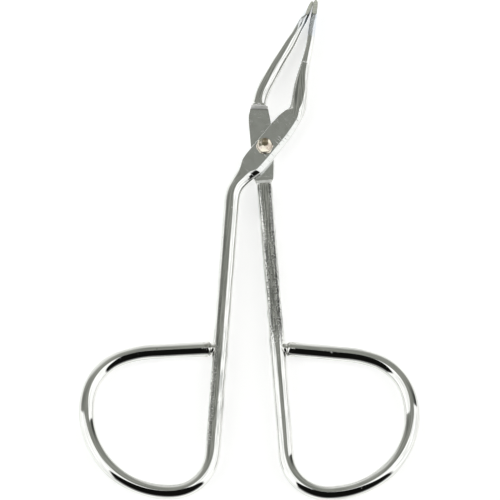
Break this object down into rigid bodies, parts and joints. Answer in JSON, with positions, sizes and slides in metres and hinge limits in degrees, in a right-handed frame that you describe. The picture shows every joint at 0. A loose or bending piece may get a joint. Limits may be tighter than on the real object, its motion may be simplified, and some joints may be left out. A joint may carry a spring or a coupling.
{
  "type": "scissor-handled tweezers",
  "caption": "Chrome-plated wire tweezers with scissor finger loops, bowed slant-tipped jaws and a brass pivot rivet.",
  "frame": {"origin": "centre of the flat end of the rivet's tail, on the pivot axis, at the surface that the tool lies on", "axes": "+Y along the tool towards the jaw tips, +X to the right seen from the front, +Z out of the front face"},
  "size_m": [0.0638, 0.0971, 0.0047],
  "materials": {
    "chrome": "bright chrome plate over steel wire, brushed on the flattened lobes, ground satin at the tips",
    "weld_chrome": "chrome plate over a slightly rough weld bead",
    "rivet_brass": "polished pale brass"
  },
  "bodies": {
    "rear_half": {"rear_arm": "chrome", "rear_loop_weld": "weld_chrome", "pivot_rivet": "rivet_brass"},
    "front_half": {"front_arm": "chrome", "front_loop_weld": "weld_chrome"}
  },
  "joints": [
    {"name": "pivot", "type": "hinge", "parent": "rear_half", "child": "front_half", "pos_m": [0, 0, 0.0021], "axis": [0, 0, -1], "range_deg": [0, 100]}
  ]
}
